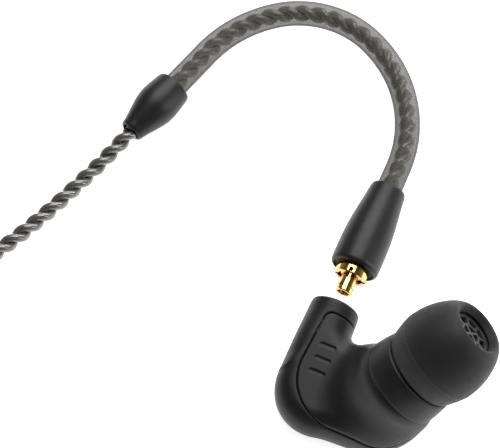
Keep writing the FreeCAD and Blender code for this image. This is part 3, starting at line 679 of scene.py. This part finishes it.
def hook_line(start_along, fall):
    """Points down the middle of the hook, from start_along on the connector's axis."""
    gap = 0.25
    x, z = NECK_END[0], NECK_END[2]
    here = np.array([x, NECK_END[1] + BOOT_END + HOOK_RISE, z])
    points = [np.array([x, y, z]) for y in np.arange(NECK_END[1] + start_along, here[1], gap)]
    turned_by = 0.0
    for radius, turn in HOOK_ARCS:
        centre = here - radius * np.array([math.cos(turned_by), math.sin(turned_by), 0])
        steps = int(radius * (turn - turned_by) / gap)
        for angle in np.linspace(turned_by, turn, steps, endpoint=False):
            points.append(centre + radius * np.array([math.cos(angle), math.sin(angle), 0]))
        here = centre + radius * np.array([math.cos(turn), math.sin(turn), 0])
        turned_by = turn
    leave = np.array([-math.sin(turned_by), math.cos(turned_by), 0])
    points += [here + leave * far for far in np.arange(0, fall + 1e-6, gap)]
    return np.array(points), here, leave


def add_plug(materials):
    boot = lathe(
        "plug_boot_skin",
        [
            (2.52, 5.5), (2.72, 5.5), (2.96, 5.72), (3.02, 6.2), (3.03, 8.0), (3.0, 9.8),
            (2.88, 11.5), (2.68, 13.3), (2.44, 15.0), (2.3, 16.4), (2.2, 16.95), (2.02, 17.1),
            (1.62, 17.1), (1.6, 16.8), (1.6, 12.5), (1.5, 12.5), (1.5, 7.6), (2.02, 7.6),
            (2.02, 7.0), (2.5, 7.0), (2.52, 6.8),
        ],
        NECK_END, Y_AXIS, materials["boot_grey"], "lead", rounds=2,
    )
    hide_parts("plug_boot")


def add_hook(materials):
    line, arc_end, leave = hook_line(13.0, HOOK_FALL + 4.0)
    around = 48
    outside, outer_faces = tube_mesh(line, TUBE_R, around, closed_ends=False)
    inside, inner_faces = tube_mesh(line, TUBE_BORE_R, around, closed_ends=False)
    base, last = len(outside), (len(line) - 1) * around
    faces = outer_faces + [tuple(i + base for i in reversed(q)) for q in inner_faces]
    for k in range(around):
        m = (k + 1) % around
        faces.append((k, base + k, base + m, m))
        faces.append((last + k, last + m, base + last + m, base + last + k))
    tube = add_mesh(
        "ear_hook_tube_skin", np.concatenate([outside, inside]), faces,
        materials["clear_tube"], "lead",
    )
    tube.data.materials.append(materials["clear_bore"])
    for number in range(len(outer_faces), len(outer_faces) + len(inner_faces)):
        tube.data.polygons[number].material_index = 1
    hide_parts("ear_hook_tube")
    inner, _, _ = hook_line(9.4, HOOK_FALL + COLLAR_LEN - 0.3)
    # The pair in the tube wears the lighter copy of the strand jacket: painted light that makes up for
    # the tube's dimming.
    pair = twisted_pair(
        "hook_cable_skin", inner, materials["strand_painted_light_in_tube"], "lead", 16, 0.2
    )
    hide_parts("hook_cable")
    collar = lathe(
        "hook_collar_skin",
        [
            (1.62, 0.7), (2.14, 0.7), (2.3, 0.8), (2.38, 1.05), (2.5, 2.0), (2.62, 3.2),
            (2.64, 4.1), (2.54, 5.0), (2.25, 6.1), (1.9, 7.25), (1.64, 8.2), (1.55, 8.7),
            (1.45, 8.93), (1.3, 9.0), (1.14, 8.95), (1.12, 8.7), (1.12, 4.1), (1.6, 4.1), (1.6, 0.9),
        ],
        arc_end + leave * HOOK_FALL, leave, materials["boot_grey"], "lead", rounds=2,
    )
    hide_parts("hook_collar")


# ---------------------------------------------------------------- the free cord

# The same points as the part's own route, in metres: from the collar's mouth to the
# coil, and from the coil to the plug.
LEAD_ROUTE = [
    (-0.0374, 0.02085, 0.00305), (-0.0386, 0.0176, 0.00225), (-0.0403, 0.0139, 0.0012),
    (-0.0423, 0.0086, 0.0011), (-0.0449, 0.0027, 0.0011), (-0.0484, -0.0038, 0.00115),
    (-0.0516, -0.0106, 0.0012), (-0.0564, -0.0156, 0.0014),
]
TAIL_ROUTE = [
    (-0.0811, 0.0094, 0.0069), (-0.0813, 0.0146, 0.0052), (-0.0815, 0.0199, 0.0036),
    (-0.0816, 0.025, 0.0031),
]


def coil_points():
    """Turns laid column by column and layer on layer, clockwise, from the foot of the coil."""
    per_turn, step = 18, COIL_STEP
    start, turns = math.radians(-96), COIL_COLUMNS * COIL_LAYERS - 1 + 0.21
    outer = COIL_MID_R + step * (COIL_COLUMNS - 1) / 2
    points = []
    for i in range(int(turns * per_turn) + 1):
        turn = i / per_turn
        layer, within = divmod(turn, COIL_COLUMNS)
        layer = min(layer, COIL_LAYERS - 1)
        within = turn - layer * COIL_COLUMNS
        column, climb = min(within, COIL_COLUMNS - 1), max(within - (COIL_COLUMNS - 1), 0)
        if layer == COIL_LAYERS - 1:
            climb = 0
        column += 0.45 * math.sin(math.pi * climb)
        if layer % 2:
            column = COIL_COLUMNS - 1 - column
        radius = outer - column * step
        angle = start - 2 * math.pi * turn
        points.append(
            (
                (COIL[0] + radius * math.cos(angle)) * MM,
                (COIL[1] + radius * math.sin(angle)) * MM,
                (COIL_LOW + (layer + climb) * step) * MM,
            )
        )
    return points


def smooth_line(points):
    """Points read from a smooth spline that has these as its control points."""
    data = bpy.data.curves.new("route", "CURVE")
    data.dimensions, data.resolution_u = "3D", 8
    spline = data.splines.new("NURBS")
    spline.points.add(len(points) - 1)
    for place, point in zip(spline.points, points):
        place.co = (*point, 1)
    spline.order_u = 3
    spline.use_endpoint_u = True
    holder = bpy.data.objects.new("route", data)
    mesh = bpy.data.meshes.new_from_object(holder)
    line = np.array([tuple(v.co) for v in mesh.vertices])
    bpy.data.objects.remove(holder)
    bpy.data.meshes.remove(mesh)
    return line


def add_tie(materials):
    """A woven strap round the coil's turns, drawn close, with its free end lapped over the top."""
    low, high = (np.array(corner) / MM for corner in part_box("cable_tie"))
    centre, half = (low + high) / 2, (high - low) / 2
    thick, corner_r, edge = 0.35, 1.7, 0.1
    around = []
    for quarter, (side_y, side_z) in enumerate(((1, 1), (-1, 1), (-1, -1), (1, -1))):
        turn_y = centre[1] + side_y * (half[1] - corner_r)
        turn_z = centre[2] + side_z * (half[2] - corner_r)
        for angle in np.linspace(quarter, quarter + 1, 9) * math.pi / 2:
            around.append((turn_y, turn_z, math.cos(angle), math.sin(angle)))
    section = [(-1, 0), (-1 + edge, 1), (1 - edge, 1), (1, 0), (1 - edge, -1), (-1 + edge, -1)]
    vertices, faces = [], []
    lapped_end = [(1, place) for place in around[2:20]]
    for run, closed in (([(0, place) for place in around], True), (lapped_end, False)):
        first, n = len(vertices), len(section)
        for layer, (turn_y, turn_z, out_y, out_z) in run:
            for across, outward in section:
                r = corner_r - thick / 2 + outward * thick / 2 + layer * (thick + 0.02)
                vertices.append((centre[0] + across * half[0], turn_y + r * out_y, turn_z + r * out_z))
        for i in range(len(run) if closed else len(run) - 1):
            here, there = first + i * n, first + (i + 1) % len(run) * n
            for k in range(n):
                m = (k + 1) % n
                faces.append((here + k, there + k, there + m, here + m))
        if not closed:
            faces.append(tuple(first + k for k in range(n)))
            faces.append(tuple(len(vertices) - 1 - k for k in range(n)))
    strap = add_mesh("tie_strap", np.array(vertices), faces, materials["tie_black"], "lead")
    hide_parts("cable_tie")
    return strap


def add_cord(materials):
    line = smooth_line(LEAD_ROUTE + coil_points() + TAIL_ROUTE)
    cord = twisted_pair("cord", line / MM, materials["strand_grey"], "lead")
    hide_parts("cord_run", "cord_coil", "cord_tail")
    on_it = [add_tie(materials)] + [nodes[n] for n in nodes if n.startswith("jack_")]


# ---------------------------------------------------------------- putting it together


def dress_nodes(materials):
    """Gives every part that stays as it is its own material, by its slot."""
    for part in frame["record"]["subparts"]:
        mesh = nodes[part["node"]].data
        mesh.materials.clear()
        mesh.materials.append(materials[part["material_slot"]])


add_camera()
materials = make_materials()
add_cord(materials)
add_world()
add_floor(paper_white())
scene.view_settings.view_transform = "Standard"
add_area_light("key", (-0.06, 0.26, 0.44), (0.45, 0.4), 2.5)
add_area_light("back_strip", (0.05, 0.5, 0.2), (0.5, 0.1), 1.2)
add_area_light("right_strip", (0.4, 0.05, 0.18), (0.1, 0.4), 0.7)
dress_nodes(materials)
add_shells(materials)
add_nozzle(materials)
add_plug(materials)
add_hook(materials)
